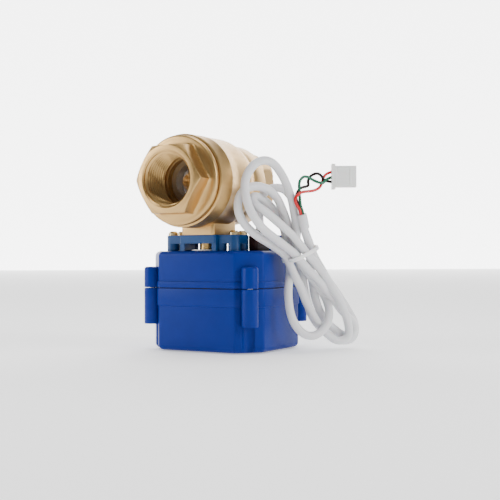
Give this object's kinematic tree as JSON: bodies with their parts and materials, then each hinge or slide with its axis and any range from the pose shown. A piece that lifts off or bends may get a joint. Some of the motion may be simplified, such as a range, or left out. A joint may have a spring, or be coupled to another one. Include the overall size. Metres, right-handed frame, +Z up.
{
  "type": "motorized ball valve actuator",
  "caption": "Brass ball valve turned a quarter turn by a small geared motor in a blue plastic housing, with a bracket between them and a white three-wire cable tied in a hank.",
  "frame": {"origin": "on the housing's bottom face, straight below the valve stem axis", "axes": "+Z up along the stem, Y along the pipe with the inlet cap at -Y, X along the front of the housing"},
  "size_m": [0.1004, 0.0905, 0.1069],
  "materials": {
    "brass_body": "cast and bead blasted, machined faces",
    "brass_stem": "turned",
    "ball_chrome": "polished plating",
    "ptfe": "PTFE",
    "rubber": "matt",
    "bracket_blue": "moulded, slightly glossy",
    "case_blue": "moulded, satin",
    "screw_brass": "plated",
    "screw_steel": "zinc plated",
    "steel": "rolled",
    "shaft_plastic": "acetal",
    "gear_plastic": "acetal",
    "cam_black": "acetal",
    "cam_red": "acetal",
    "bronze": "sintered bearing bronze",
    "pinion_brass": "turned",
    "switch_black": "moulded",
    "switch_red": "moulded",
    "board_green": "solder mask",
    "board_parts": "moulded components",
    "block_black": "moulded, matt",
    "cable_white": "soft PVC jacket",
    "tie_white": "nylon",
    "wire_red": "PVC insulation",
    "wire_green": "PVC insulation",
    "wire_black": "PVC insulation",
    "plug_white": "translucent nylon",
    "contact_tin": "tin plated"
  },
  "bodies": {
    "housing": {"valve_body": "brass_body", "end_cap": "brass_body", "seat_front": "ptfe", "seat_rear": "ptfe", "stem_washer": "ptfe", "bracket": "bracket_blue", "bracket_screws": "screw_brass", "valve_screws": "screw_steel", "upper_case": "case_blue", "lower_case": "case_blue", "case_seal": "rubber", "case_screws": "screw_steel", "top_bush": "shaft_plastic", "foot_bush": "bronze", "idler_pin": "steel", "gear_plate": "steel", "plate_screws": "screw_steel", "gearbox": "steel", "motor_can": "steel", "motor_terminals": "bronze", "gearbox_screws": "screw_steel", "open_switch": "switch_black", "close_switch": "switch_black", "switch_spacer": "shaft_plastic", "switch_screws": "screw_steel", "circuit_board": "board_green", "board_parts": "board_parts", "board_screws": "screw_steel", "cable_block": "block_black", "cable_tube": "cable_white", "cable_hank": "cable_white", "cable_tie": "tie_white", "end_sleeve": "cable_white", "wire_red": "wire_red", "wire_green": "wire_green", "wire_black": "wire_black", "plug_housing": "plug_white", "plug_contacts": "contact_tin"},
    "output": {"output_shaft": "shaft_plastic", "sector_gear": "gear_plastic", "open_cam": "cam_black", "close_cam": "cam_red", "valve_stem": "brass_stem", "stem_orings": "rubber", "ball": "ball_chrome"},
    "idler": {"idler_gear": "gear_plastic"},
    "pinion": {"motor_shaft": "steel", "motor_pinion": "pinion_brass"},
    "open_plunger": {"open_plunger": "switch_red"},
    "close_plunger": {"close_plunger": "switch_red"}
  },
  "joints": [
    {"name": "valve_turn", "type": "hinge", "parent": "housing", "child": "output", "pos_m": [0, 0, 0.0841], "axis": [0, 0, 1], "range_deg": [0, 90]},
    {"name": "idler_turn", "type": "hinge", "parent": "housing", "child": "idler", "pos_m": [0, 0.024, 0.035], "axis": [0, 0, 1], "range_deg": [-360, 0]},
    {"name": "pinion_turn", "type": "hinge", "parent": "housing", "child": "pinion", "pos_m": [0.01651, 0.03118, 0.033], "axis": [0, 0, 1], "range_deg": [0, 1440]},
    {"name": "open_press", "type": "slide", "parent": "housing", "child": "open_plunger", "axis": [-1, 0, 0], "range_m": [0, 0.0006], "stiffness_N_per_m": 400, "springref_m": -0.0005},
    {"name": "close_press", "type": "slide", "parent": "housing", "child": "close_plunger", "axis": [-1, 0, 0], "range_m": [0, 0.0006], "stiffness_N_per_m": 400, "springref_m": -0.0005}
  ],
  "couplings": [
    {"joint": "idler_turn", "follows": "valve_turn", "ratio": -4},
    {"joint": "pinion_turn", "follows": "valve_turn", "ratio": 16}
  ]
}
